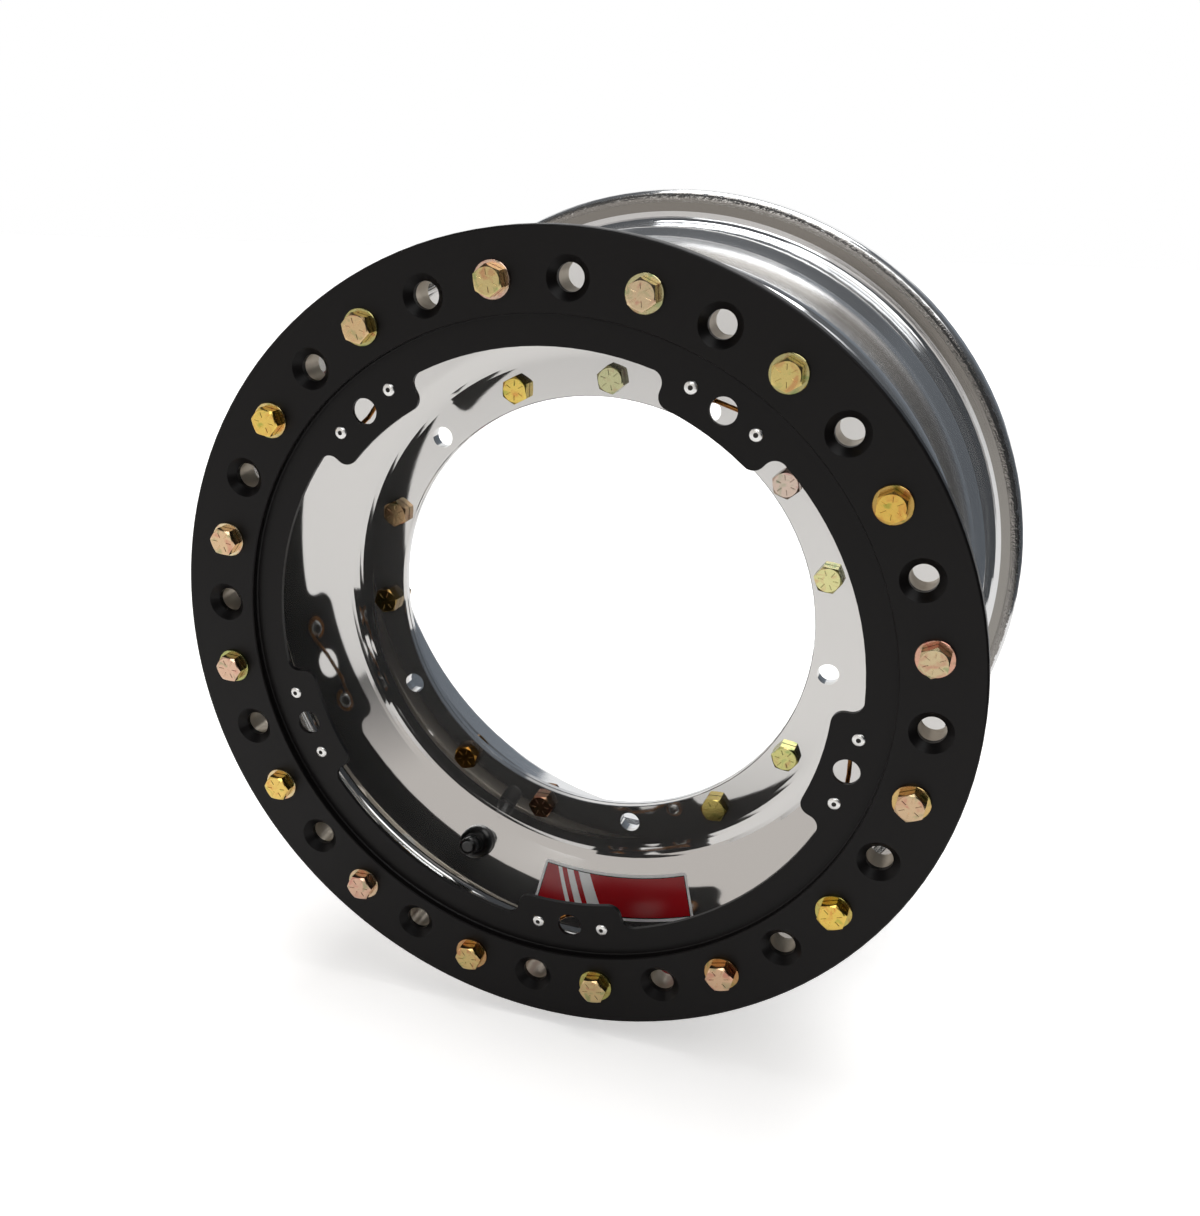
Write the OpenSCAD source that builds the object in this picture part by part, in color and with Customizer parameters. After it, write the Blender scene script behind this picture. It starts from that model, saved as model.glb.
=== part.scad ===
// Sprint car front wheel: two spun aluminium halves bolted at a centre flange, with a beadlock.
// The wheel stands upright. The mounting face is the plane Y = 0, +Y points inboard and +Z is up.
// Wheel angles are counted clockwise from the top, as seen from the outboard side.

/* [Rim] */
// Width between the two tyre bead faces
rim_w = 203.2; // [180:0.1:260]
// Diameter of the tyre bead seats
bead_seat_d = 380.2; // [376:0.1:390]
// Outer diameter of the rear lip
lip_d = 415.2; // [408:0.1:424]
// Distance from the mounting face to the outboard tyre bead face
front_reach = 77; // [72:0.5:100]
// Thickness of the spun sheet
shell_t = 3.4; // [2.4:0.1:4]
// Diameter at which the centre flange turns into the dish
dish_d = 283.6; // [279:0.1:290]
// Slope of the dish from the flange plane, in degrees
dish_slope = 25.8; // [18:0.1:34]
// Bend radius between flange and dish, on the polished side
dish_bend_r = 35; // [8:0.5:38]
// Bend radius between dish and outboard barrel, on the polished side
barrel_bend_r = 6; // [4:0.5:9]
// Outside diameter of the rear barrel
rear_barrel_d = 370; // [364:0.5:374]
// Length from the inboard tyre bead face back to the foot of the step
step_reach = 36; // [33:0.5:45]
// Depth of the rear lip behind the inboard tyre bead face
lip_w = 13.5; // [12:0.5:18]

/* [Centre flange] */
// Diameter of the centre bore
hub_bore_d = 228.6; // [220:0.1:230]
// Bolt circle of the hub and of the bolts that join the halves
hub_pcd = 247.65; // [245:0.05:252]
// Number of hub mounting holes
hub_holes = 5; // [3:1:6]
// Diameter of the hub mounting holes
hub_hole_d = 11.1; // [9:0.1:13]
// Number of joining bolts between two hub mounting holes
bolts_between = 2; // [1:1:3]
// Wheel angle of the first hub mounting hole
hub_phase = -45.4; // [-60:0.1:60]

/* [Beadlock] */
// Outer diameter of the beadlock ring
ring_d = 403.2; // [396:0.1:410]
// Thickness of the beadlock ring
ring_t = 6.5; // [5.5:0.1:9]
// Bore of the beadlock ring between its tabs
ring_bore_d = 298.4; // [296:0.1:304]
// Diameter of the step down to the thin inner zone of the ring
recess_d = 327.6; // [322:0.1:332]
// Depth of the thin inner zone below the front of the ring
recess_depth = 4.3; // [3:0.1:4.5]
// Bolt circle of the beadlock
lock_pcd = 359.2; // [357:0.1:360]
// Number of beadlock bolts, and of lightening holes between them
lock_bolts = 16; // [12:1:18]
// Wheel angle of the first beadlock bolt
lock_phase = -8.5; // [-20:0.1:20]
// Diameter of the lightening holes
light_hole_d = 12.8; // [8:0.1:13]
// Diameter of the cone that opens each lightening hole to the front
light_cone_d = 20; // [15:0.1:22]
// Bore of the bead flange
flange_bore_d = 345; // [340:0.1:345]
// Thickness of the bead flange
flange_t = 12.7; // [10:0.1:16]
// Outer diameter of the lip that the tyre bead is clamped against
flange_lip_d = 391; // [384:0.1:396]
// Room between the ring and that lip, filled by the clamped tyre bead
clamp_gap = 10.5; // [8:0.1:12]
// Thickness of that lip
flange_lip_t = 4.5; // [3:0.1:6]

/* [Cover tabs] */
// Number of tabs that hold the wheel cover
tabs = 5; // [3:1:6]
// Wheel angle of the first tab
tab_phase = -40; // [-60:0.1:60]
// Diameter on which the inner ends of the tabs lie
tab_bore_d = 270.8; // [268:0.1:274]
// Half of the angle that a tab spans
tab_half_angle = 11.4; // [10:0.1:13]
// Radius of the outer corners of a tab
tab_corner_r = 6; // [3:0.5:6]
// Radius of the hollow corners beside a tab
tab_fillet_r = 6; // [3:0.5:6]
// Distance from the wheel's axis to the fastener hole of a tab
tab_hole_reach = 148.3; // [146:0.1:149]
// Diameter of the fastener hole of a tab
tab_hole_d = 12.7; // [9:0.1:14]
// Distance between the two rivets of a spring
rivet_gap = 34.9; // [32:0.1:36]
// Diameter of the spring wire
wire_d = 2.1; // [1.6:0.1:2.4]
// Radius of a spring's loops, to the middle of the wire
loop_r = 4.1; // [3.9:0.1:4.4]
// Height of the middle of a spring above its loops
spring_rise = 8; // [4:0.1:10]
// Diameter of a rivet's body
rivet_d = 3.2; // [3:0.1:4]
// Diameter of a rivet's front head
rivet_head_d = 6.2; // [6:0.1:8]

/* [Bolts] */
// Diameter of all bolts
bolt_d = 7.94; // [6:0.01:8]
// Size across the flats of heads and nuts
hex_w = 12.7; // [11:0.1:13]
// Height of a bolt head
head_h = 5.4; // [4:0.1:6]
// Height of a nut
nut_h = 6.75; // [5:0.05:8]
// Length of the joining bolts below the head
join_bolt_len = 15.9; // [14:0.1:25]
// Length of the beadlock bolts below the head
lock_bolt_len = 22.2; // [18:0.1:22.5]
// Outer diameter of the beadlock washers
washer_d = 17.5; // [15:0.1:20]
// Thickness of the beadlock washers
washer_t = 1.6; // [1:0.1:2.5]
// Diameter of the body of a threaded insert
insert_d = 10.4; // [9.5:0.1:11]
// Diameter of the flange of a threaded insert
insert_flange_d = 13; // [12:0.1:13]

/* [Valve] */
// Wheel angle of the valve
valve_phase = 205; // [195:0.5:212]
// Distance from the wheel's axis to the foot of the valve
valve_reach = 162; // [156:0.5:168]
// Diameter of the valve hole
valve_hole_d = 11.5; // [10:0.1:13]
// Diameter of the rubber shoulder
valve_shoulder_d = 18.6; // [16:0.1:20]
// Height to which the rubber reaches
valve_rubber_h = 19; // [16:0.5:24]
// Height of the metal stem
valve_stem_h = 27; // [25:0.5:34]
// Outer diameter of the metal stem
valve_stem_d = 7.7; // [7:0.1:8]
// Outer diameter of the valve cap
valve_cap_d = 9.6; // [9.2:0.1:11]
// Travel of the valve pin
valve_pin_travel = 1.2; // [0.8:0.1:1.5]

/* [Decal] */
// Wheel angle of the middle of the decal
decal_phase = 174.6; // [165:0.1:185]
// Length of the decal around the dish, as an angle
decal_angle = 31; // [20:0.1:34]
// Distance from the wheel's axis to the upper edge of the decal
decal_reach = 154; // [150:0.5:160]
// Height of the decal, measured square to the axis
decal_h = 23; // [14:0.5:25]

/* [Hidden] */

// Smoothness of turned surfaces and of small round parts
turned = 180;
small = 48;
// Steps in each bend of an outline, and in the dome of a small head
bend_steps = 8;
dome_steps = 6;
// Radial play between a bolt and its thread, and between a bolt and a plain hole
thread_play = 0.04;
bolt_play = 0.25;
// Gap that keeps a piece just off the surface it lies against
seat_gap = 0.02;
// How far a cutting shape reaches past the piece that it cuts
cut = 1;
// Sides of a bolt head or a nut
hex_sides = 6;

// Radii of the turned sizes
hub_bore_r = hub_bore_d / 2;
seat_r = bead_seat_d / 2;
lip_r = lip_d / 2;
dish_r = dish_d / 2;
ring_r = ring_d / 2;
ring_bore_r = ring_bore_d / 2;
recess_r = recess_d / 2;
tab_bore_r = tab_bore_d / 2;
bolt_r = bolt_d / 2;
hole_r = bolt_r + bolt_play;

// Planes along the axle
outboard_face = -2 * shell_t;
ring_back = -front_reach;
ring_front = ring_back - ring_t;
tab_front = ring_front + recess_depth;
flange_back = ring_back + flange_t;
rear_bead = rim_w - front_reach;
lock_head = ring_front - washer_t;

// Points where the dish would meet the barrels if the bends were sharp
front_barrel_r = seat_r - shell_t;
rear_barrel_r = rear_barrel_d / 2 - shell_t;
front_dish_end = outboard_face - (front_barrel_r - dish_r) * tan(dish_slope);
rear_dish_end = (rear_barrel_r - dish_r) * tan(dish_slope);

// Outline tools: a path with rounded corners, and the same path moved sideways
function unit(v) = v / norm(v);
function left_of(v) = [-v[1], v[0]];
function turned_by(v, a) = [v[0] * cos(a) - v[1] * sin(a), v[0] * sin(a) + v[1] * cos(a)];
function turn_angle(a, b) = atan2(a[0] * b[1] - a[1] * b[0], a * b);
function bend(p, q, s, r, shift) =
    let (
        into = unit(q - p),
        out = unit(s - q),
        angle = turn_angle(into, out),
        side = sign(angle),
        centre = q - into * r * tan(abs(angle) / 2) + left_of(into) * side * r,
        start = -side * left_of(into)
    )
    [for (k = [0:bend_steps]) centre + (r - side * shift) * turned_by(start, angle * k / bend_steps)];
function path_side(pts, radii, shift) =
    let (last = len(pts) - 1)
    concat(
        [pts[0] + left_of(unit(pts[1] - pts[0])) * shift],
        [for (i = [1:last - 1]) each bend(pts[i - 1], pts[i], pts[i + 1], radii[i - 1], shift)],
        [pts[last] + left_of(unit(pts[last] - pts[last - 1])) * shift]
    );
function backwards(pts) = [for (i = [len(pts) - 1:-1:0]) pts[i]];
// Sheet of even thickness along a path, with its cut edges eased
sheet_edge = 0.4;
function sheet_outline(pts, radii, thickness) =
    let (
        last = len(pts) - 1,
        ease = sheet_edge * sign(thickness),
        into = unit(pts[1] - pts[0]),
        out = unit(pts[last] - pts[last - 1]),
        inner = [for (i = [1:last - 1]) pts[i]],
        eased = concat([pts[0] + sheet_edge * into], inner, [pts[last] - sheet_edge * out])
    )
    concat(
        [pts[0] + ease * left_of(into)],
        path_side(eased, radii, 0),
        [pts[last] + ease * left_of(out), pts[last] + (thickness - ease) * left_of(out)],
        backwards(path_side(eased, radii, thickness)),
        [pts[0] + (thickness - ease) * left_of(into)]
    );
function arc(centre, r, from, to, steps) =
    [for (k = [0:steps]) let (a = from + (to - from) * k / steps) centre + r * [cos(a), sin(a)]];
// Low dome from its rim at the height base up to the hole in its middle
function dome(r, hole, base, h) =
    let (top = acos(hole / r))
    [for (k = [0:dome_steps]) [r * cos(top * k / dome_steps), base + h * sin(top * k / dome_steps)]];

// The polished face of each half from the centre bore outwards: distance from the axle, place along it
outer_half_path = [
    [hub_bore_r, outboard_face],
    [dish_r, outboard_face],
    [front_barrel_r, front_dish_end],
    [front_barrel_r, flange_back]
];
outer_half_bends = [dish_bend_r, barrel_bend_r];
// Step, hump and bead seat of the rear half
hump_drop = 0.6;
dip_drop = 1.7;
hump_reach = 24;
dip_reach = 18.5;
step_bend_r = 8;
hump_bend_r = 5;
bead_corner_r = 5;
lip_bend_r = 2.4;
lip_lean = 1.6;
rear_barrel_bend_r = 10;
rear_bead_back = rear_bead + shell_t;
inner_half_path = [
    [hub_bore_r, 0],
    [dish_r, 0],
    [rear_barrel_r, rear_dish_end],
    [rear_barrel_r, rear_bead - step_reach],
    [front_barrel_r - hump_drop, rear_bead - hump_reach],
    [front_barrel_r - dip_drop, rear_bead - dip_reach],
    [front_barrel_r, rear_bead_back],
    [lip_r - shell_t, rear_bead_back + lip_lean],
    [lip_r - shell_t, rear_bead + lip_w]
];
inner_half_bends = [dish_bend_r, rear_barrel_bend_r, step_bend_r, hump_bend_r, hump_bend_r,
    bead_corner_r + shell_t, lip_bend_r];

// Puts a shape drawn around Z, with heights along Z, onto the axle along Y
module on_axle() {
    rotate([-90, 0, 0]) children();
}

// Turns a shape drawn along X to a wheel angle
module at_angle(a) {
    rotate([0, 0, a - 90]) children();
}

module around(count, phase) {
    for (i = [0:count - 1]) at_angle(phase + i * 360 / count) children();
}

// Turn of a head from one bolt to the next, as tightening left them
group_turn = 37;
pair_turn = 83;
lock_turn = 41;

// Places a shape at each joining bolt, which fill the gaps between the hub mounting holes
module at_join_bolts() {
    step = 360 / hub_holes / (bolts_between + 1);
    for (i = [0:hub_holes - 1], k = [1:bolts_between])
        at_angle(hub_phase + i * 360 / hub_holes + k * step)
            translate([hub_pcd / 2, 0, 0]) rotate([0, 0, group_turn * i + pair_turn * k]) children();
}

module at_lock_bolts() {
    for (i = [0:lock_bolts - 1])
        at_angle(lock_phase + i * 360 / lock_bolts)
            translate([lock_pcd / 2, 0, 0]) rotate([0, 0, lock_turn * i]) children();
}

module at_light_holes() {
    around(lock_bolts, lock_phase + 180 / lock_bolts) translate([lock_pcd / 2, 0, 0]) children();
}

module at_rivets() {
    for (s = [-1, 1]) around(tabs, tab_phase) translate([tab_hole_reach, s * rivet_gap / 2, 0]) children();
}

// Puts a shape with its foot on the dish and its top away from it
module at_valve() {
    foot = outboard_face - (valve_reach - dish_r) * tan(dish_slope);
    at_angle(valve_phase) translate([valve_reach, 0, foot]) rotate([0, 180 + dish_slope, 0]) children();
}

// Round cutter through whatever lies between two heights
module hole(low, high, r, steps = small) {
    translate([0, 0, low - cut]) cylinder(h = high - low + 2 * cut, r = r, $fn = steps);
}

module centre_holes() {
    around(hub_holes, hub_phase) translate([hub_pcd / 2, 0, 0]) hole(outboard_face, 0, hub_hole_d / 2);
    at_join_bolts() hole(outboard_face, 0, hole_r);
}

// Spun outboard half
module outer_half() {
    color("gainsboro") on_axle() difference() {
        rotate_extrude($fn = turned) polygon(sheet_outline(outer_half_path, outer_half_bends, shell_t));
        centre_holes();
        at_valve() hole(-shell_t, 0, valve_hole_d / 2);
    }
}

// Spun inboard half with bead seat and lip
module inner_half() {
    color("silver") on_axle() difference() {
        rotate_extrude($fn = turned) polygon(sheet_outline(inner_half_path, inner_half_bends, -shell_t));
        centre_holes();
    }
}

// Bead of sealant in the groove where the two halves part, between two places along their bends
sealant_from = 5.5;
sealant_to = 14;
module joint_sealant() {
    bend_foot = dish_r - dish_bend_r * tan(dish_slope / 2);
    outside_r = dish_bend_r + shell_t;
    gap_r = outside_r + seat_gap;
    front = arc([bend_foot, -shell_t - outside_r], gap_r, 90 - sealant_from, 90 - sealant_to, bend_steps);
    rear = arc([bend_foot, outside_r - shell_t], gap_r, sealant_to - 90, sealant_from - 90, bend_steps);
    color("dimgray") on_axle() rotate_extrude($fn = turned) polygon(concat(front, rear));
}

// Thick ring welded to the front of the outboard half, which carries the beadlock
flange_edge = 0.5;
weld_leg = 2.5;
module bead_flange() {
    lip_front = ring_back + clamp_gap;
    lip_back = lip_front + flange_lip_t;
    bore_r = flange_bore_d / 2;
    rim_r = flange_lip_d / 2;
    color("lightgray") on_axle() difference() {
        rotate_extrude($fn = turned) polygon(concat(
            [
                [bore_r, flange_back - flange_edge],
                [bore_r, ring_back + flange_edge],
                [bore_r + flange_edge, ring_back],
                [seat_r - flange_edge, ring_back],
                [seat_r, ring_back + flange_edge]
            ],
            arc([seat_r + weld_leg, lip_front - weld_leg], weld_leg, 180, 90, bend_steps),
            [
                [rim_r - flange_edge, lip_front],
                [rim_r, lip_front + flange_edge],
                [rim_r, lip_back - flange_edge],
                [rim_r - flange_edge, lip_back],
                [seat_r + weld_leg, lip_back],
                [seat_r, lip_back + weld_leg],
                [seat_r, flange_back],
                [bore_r + flange_edge, flange_back]
            ]
        ));
        at_lock_bolts() hole(ring_back, flange_back, insert_d / 2);
        at_light_holes() hole(ring_back, flange_back, light_hole_d / 2);
    }
}

// Outline of one tab, drawn around the X axis: hollow corner, side, outer corner, and the same mirrored
corner_overlap = 0.05;
module tab_plate() {
    corner_centre_r = tab_bore_r + tab_corner_r - corner_overlap;
    hollow_centre_r = ring_bore_r - tab_fillet_r + corner_overlap;
    corner_turn = asin(tab_corner_r / corner_centre_r);
    hollow_turn = asin(tab_fillet_r / hollow_centre_r);
    corner_at = tab_half_angle - corner_turn;
    hollow_at = tab_half_angle + hollow_turn;
    corner_way = [cos(corner_at), sin(corner_at)];
    hollow_way = [cos(hollow_at), sin(hollow_at)];
    hollow = arc(hollow_centre_r * hollow_way, tab_fillet_r, hollow_at, tab_half_angle - 90, bend_steps);
    corner = arc(corner_centre_r * corner_way, tab_corner_r, tab_half_angle + 90, corner_at + 180,
        bend_steps);
    one_side = concat(
        [(ring_bore_r + cut) / cos(hollow_at) * hollow_way],
        hollow,
        corner,
        [(tab_bore_r - cut) * corner_way]
    );
    polygon(concat(one_side, [for (p = backwards(one_side)) [p[0], -p[1]]]));
}

// Clamping ring with a thin inner zone and tabs for the wheel cover
ring_round = 1.2;
ring_edge = 0.5;
recess_fillet = 0.8;
plate_overlap = 0.5;
module beadlock_ring() {
    plate_t = ring_t - recess_depth;
    plate_r = recess_r - recess_fillet - plate_overlap;
    cone_depth = (light_cone_d - light_hole_d) / 2;
    color([0.09, 0.09, 0.1]) on_axle() difference() {
        union() {
            rotate_extrude($fn = turned) polygon(concat(
                [
                    [plate_r - plate_overlap, ring_back],
                    [plate_r - plate_overlap, tab_front]
                ],
                arc([recess_r - recess_fillet, tab_front - recess_fillet], recess_fillet, 90, 0, bend_steps),
                [
                    [recess_r, ring_front + ring_edge],
                    [recess_r + ring_edge, ring_front]
                ],
                arc([ring_r - ring_round, ring_front + ring_round], ring_round, -90, 0, bend_steps),
                [
                    [ring_r, ring_back - ring_edge],
                    [ring_r - ring_edge, ring_back]
                ]
            ));
            translate([0, 0, tab_front]) linear_extrude(height = plate_t) difference() {
                circle(r = plate_r, $fn = turned);
                difference() {
                    circle(r = ring_bore_r, $fn = turned);
                    around(tabs, tab_phase) tab_plate();
                }
            }
        }
        hole(ring_front, ring_back, tab_bore_r, turned);
        around(tabs, tab_phase)
            translate([tab_hole_reach, 0, 0]) hole(ring_front, ring_back, tab_hole_d / 2);
        at_rivets() hole(ring_front, ring_back, rivet_d / 2 + seat_gap);
        at_lock_bolts() hole(ring_front, ring_back, hole_r);
        at_light_holes() {
            hole(ring_front, ring_back, light_hole_d / 2);
            translate([0, 0, ring_front - cut]) cylinder(
                h = cone_depth + cut, r1 = light_cone_d / 2 + cut, r2 = light_hole_d / 2, $fn = small);
        }
    }
}

// Hexagon with bevelled corners, from height 0 up to h, bevelled at the top and on request at the bottom
bevel_slope = 30;
bevel_share = 0.95;
module hexagon(h, both = false) {
    bevel_r = bevel_share * hex_w / 2;
    corner_r = hex_w / 2 / cos(180 / hex_sides);
    drop = (corner_r - bevel_r) * tan(bevel_slope);
    intersection() {
        cylinder(h = h, r = corner_r, $fn = hex_sides);
        rotate_extrude($fn = small) polygon([
            [0, 0],
            [both ? bevel_r : corner_r, 0],
            [corner_r, both ? drop : 0],
            [corner_r, h - drop],
            [bevel_r, h],
            [0, h]
        ]);
    }
}

// Bolt with its head below Z = 0 and its thread above, with a raised half-round grade mark along each
// corner line of the head
face_t = 0.4;
face_shrink = 0.6;
mark_len = 2.6;
mark_r = 0.26;
mark_reach = 2.5;
mark_steps = 16;
tip_bevel = 0.7;
module hex_bolt(length) {
    translate([0, 0, -face_t]) mirror([0, 0, 1]) hexagon(head_h - face_t);
    translate([0, 0, -face_t]) cylinder(h = face_t, d = hex_w - face_shrink, $fn = small);
    rotate_extrude($fn = small) polygon([
        [0, 0],
        [bolt_r, 0],
        [bolt_r, length - tip_bevel],
        [bolt_r - tip_bevel, length],
        [0, length]
    ]);
    for (i = [1:hex_sides]) rotate([0, 0, 360 * i / hex_sides])
        translate([mark_reach, 0, -head_h]) rotate([0, 90, 0])
            cylinder(h = mark_len, r = mark_r, $fn = mark_steps);
}

module join_bolts() {
    color("khaki") on_axle() at_join_bolts() translate([0, 0, outboard_face]) hex_bolt(join_bolt_len);
}

module join_nuts() {
    color("tan") on_axle() at_join_bolts() difference() {
        hexagon(nut_h, both = true);
        hole(0, nut_h, bolt_r + thread_play);
    }
}

module beadlock_bolts() {
    color("gold") on_axle() at_lock_bolts() translate([0, 0, lock_head]) hex_bolt(lock_bolt_len);
}

washer_edge = 0.25;
module beadlock_washers() {
    outer_r = washer_d / 2;
    color("darkkhaki") on_axle() at_lock_bolts() rotate_extrude($fn = small) polygon([
        [hole_r, lock_head],
        [outer_r - washer_edge, lock_head],
        [outer_r, lock_head + washer_edge],
        [outer_r, ring_front],
        [hole_r, ring_front]
    ]);
}

// Steel insert pressed into the bead flange from behind
insert_flange_t = 1.4;
insert_recess = 0.5;
module threaded_inserts() {
    thread_r = bolt_r + thread_play;
    color("gray") on_axle() at_lock_bolts() rotate_extrude($fn = small) polygon([
        [thread_r, ring_back + insert_recess],
        [insert_d / 2, ring_back + insert_recess],
        [insert_d / 2, flange_back],
        [insert_flange_d / 2, flange_back],
        [insert_flange_d / 2, flange_back + insert_flange_t],
        [thread_r, flange_back + insert_flange_t]
    ]);
}

// Round wire from a to b
module wire(a, b) {
    along = b - a;
    turn = atan2(along[1], along[0]);
    lean = acos(along[2] / norm(along));
    translate(a) rotate([0, lean, turn]) cylinder(h = norm(along), d = wire_d, $fn = small);
}

// One bent spring behind a tab: a loop around each rivet, and between them a wire that leaves flat, clears
// the rivet's blind head and then rises to cross the hole
lead_share = 0.1;
ramp_share = 0.31;
loop_angle = 292;
knuckle = 0.1;
spring_low = ring_back + (wire_d + knuckle) / 2 + seat_gap;
module cover_spring(i) {
    cross = asin(2 * loop_r / rivet_gap);
    across = [cos(cross), -sin(cross)];
    foot = [tab_hole_reach, -rivet_gap / 2] - loop_r * across;
    head = [tab_hole_reach, rivet_gap / 2] + loop_r * across;
    function on_wire(share, rise) = concat(foot + share * (head - foot), [spring_low + rise]);
    rising = [on_wire(0, 0), on_wire(lead_share, 0), on_wire(ramp_share, spring_rise)];
    falling = [on_wire(1 - ramp_share, spring_rise), on_wire(1 - lead_share, 0), on_wire(1, 0)];
    route = concat(rising, falling);
    color("peru") on_axle() at_angle(tab_phase + (i - 1) * 360 / tabs) {
        for (s = [-1, 1])
            translate([tab_hole_reach, s * rivet_gap / 2, spring_low]) rotate([0, 0, (1 - s) * 90 - cross])
                rotate_extrude(angle = loop_angle, $fn = small)
                    translate([loop_r, 0]) circle(d = wire_d, $fn = small);
        for (k = [1:len(route) - 1]) wire(route[k - 1], route[k]);
        for (p = route) translate(p) sphere(d = wire_d + knuckle, $fn = small);
    }
}

// Blind rivets that hold the springs: tubes with a domed head in front and a set head behind the loops
rivet_head_h = 1;
rivet_bore_r = 1.15;
blind_head_d = 7;
blind_head_h = 2;
loop_back = spring_low + (wire_d + knuckle) / 2 + seat_gap;
module spring_rivets() {
    color("whitesmoke") on_axle() at_rivets() rotate_extrude($fn = small) polygon(concat(
        backwards(dome(rivet_head_d / 2, rivet_bore_r, tab_front, -rivet_head_h)),
        [
            [rivet_d / 2, tab_front],
            [rivet_d / 2, loop_back]
        ],
        dome(blind_head_d / 2, rivet_bore_r, loop_back, blind_head_h)
    ));
}

// Steel mandrel left in each rivet: its broken end lies inside the front head, its bulb behind the set head
mandrel_sink = 0.9;
bulb_r = 2.1;
bulb_h = 1.3;
module rivet_mandrels() {
    rod_r = rivet_bore_r - seat_gap;
    bulb_foot = loop_back + blind_head_h + seat_gap;
    color("dimgray") on_axle() at_rivets() rotate_extrude($fn = small) polygon(concat(
        [
            [0, tab_front - rivet_head_h + mandrel_sink],
            [rod_r, tab_front - rivet_head_h + mandrel_sink],
            [rod_r, bulb_foot]
        ],
        dome(bulb_r, 0, bulb_foot, bulb_h)
    ));
}

// Snap-in rubber body: a flange on the air side, a neck through the hole and a shoulder in front
valve_flange_d = 19;
valve_flange_h = 4;
valve_flange_edge = 1;
shoulder_h = 3.2;
flank_share = 0.62;
rubber_tip_d = 10.4;
module valve_body() {
    shoulder_r = valve_shoulder_d / 2;
    flange_r = valve_flange_d / 2;
    neck_r = valve_hole_d / 2 - seat_gap;
    tip_r = rubber_tip_d / 2;
    flank_h = flank_share * (valve_rubber_h - shoulder_h);
    // The hollow of the dish rises under the rim of the flat shoulder
    seat = seat_gap + shoulder_r * shoulder_r * sin(dish_slope) / (2 * valve_reach);
    color([0.12, 0.12, 0.12]) on_axle() at_valve() rotate_extrude($fn = small) polygon(concat(
        [
            [valve_stem_d / 2, -shell_t - valve_flange_h],
            [flange_r - valve_flange_edge, -shell_t - valve_flange_h],
            [flange_r, -shell_t - valve_flange_h + valve_flange_edge],
            [flange_r, -shell_t - seat_gap],
            [neck_r, -shell_t - seat_gap],
            [neck_r, seat],
            [shoulder_r, seat]
        ],
        [for (k = [0:bend_steps]) let (a = 90 * k / bend_steps)
            [tip_r + (shoulder_r - tip_r) * cos(a), shoulder_h + flank_h * sin(a)]],
        [
            [tip_r, valve_rubber_h],
            [valve_stem_d / 2, valve_rubber_h]
        ]
    ));
}

// Metal tube inside the rubber, with the seat that the core screws into
core_bore_d = 5.2;
air_bore_d = 3.4;
core_foot = 4;
module valve_stem() {
    foot = -shell_t - valve_flange_h;
    color("goldenrod") on_axle() at_valve() difference() {
        translate([0, 0, foot]) cylinder(h = valve_stem_h - foot, d = valve_stem_d, $fn = small);
        hole(foot, core_foot, air_bore_d / 2);
        translate([0, 0, core_foot]) cylinder(h = valve_stem_h, d = core_bore_d, $fn = small);
    }
}

// Core barrel screwed into the stem, with a guide for the pin at both ends
core_wall = 0.8;
pin_d = 1.4;
pin_play = 0.06;
core_sink = 1.5;
core_lift = 3;
core_guide_h = 3;
seal_h = 3;
seal_lift = 1;
seal_r = (core_bore_d - core_wall) / 2;
core_top = valve_stem_h - core_sink;
core_low = core_foot + core_lift;
module valve_core() {
    color("khaki") on_axle() at_valve() difference() {
        translate([0, 0, core_low])
            cylinder(h = core_top - core_low, r = core_bore_d / 2 - seat_gap, $fn = small);
        hole(core_low, core_top, pin_d / 2 + pin_play);
        translate([0, 0, core_low + core_guide_h]) cylinder(
            h = core_top - core_low - 2 * core_guide_h, r = core_bore_d / 2 - core_wall, $fn = small);
        translate([0, 0, core_low + seal_lift]) difference() {
            cylinder(h = seal_h, r = core_bore_d / 2 + cut, $fn = small);
            hole(0, seal_h, seal_r);
        }
    }
}

// Sealing ring around the core barrel
module valve_seal() {
    color("firebrick") on_axle() at_valve() translate([0, 0, core_low + seal_lift + seat_gap]) difference() {
        cylinder(h = seal_h - 2 * seat_gap, d = core_bore_d, $fn = small);
        hole(0, seal_h, seal_r + seat_gap);
    }
}

// Coil spring that holds the pin shut, drawn at the length it has when the pin is pushed in
spring_wire_d = 0.36;
spring_turns = 6;
collar_h = 0.8;
collar_drop = 0.6;
spring_room = 0.1;
spring_r = (pin_d + 2 * pin_play) / 2 + spring_wire_d;
collar_top = core_top - core_guide_h - collar_drop;
module valve_spring() {
    low = core_low + core_guide_h + spring_wire_d / 2 + seat_gap;
    high = collar_top - collar_h - spring_wire_d / 2 - valve_pin_travel - spring_room;
    pitch = (high - low) / (spring_turns - 1);
    color("silver") on_axle() at_valve() for (k = [0:spring_turns - 1])
        translate([0, 0, low + k * pitch]) rotate_extrude($fn = small)
            translate([spring_r, 0]) circle(d = spring_wire_d, $fn = small);
}

// Pin through the core, with a collar above the spring and a cup that shuts the core's foot
cup_h = 1.6;
cup_d = 3;
pin_proud = 0.6;
module valve_pin() {
    foot = core_low - cup_h;
    color("darkgoldenrod") on_axle() at_valve() {
        translate([0, 0, foot]) cylinder(h = valve_stem_h - pin_proud - foot, d = pin_d, $fn = small);
        translate([0, 0, foot]) cylinder(h = cup_h - seat_gap, d = cup_d, $fn = small);
        translate([0, 0, collar_top - collar_h])
            cylinder(h = collar_h, r = spring_r + spring_wire_d / 2, $fn = small);
    }
}

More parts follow.
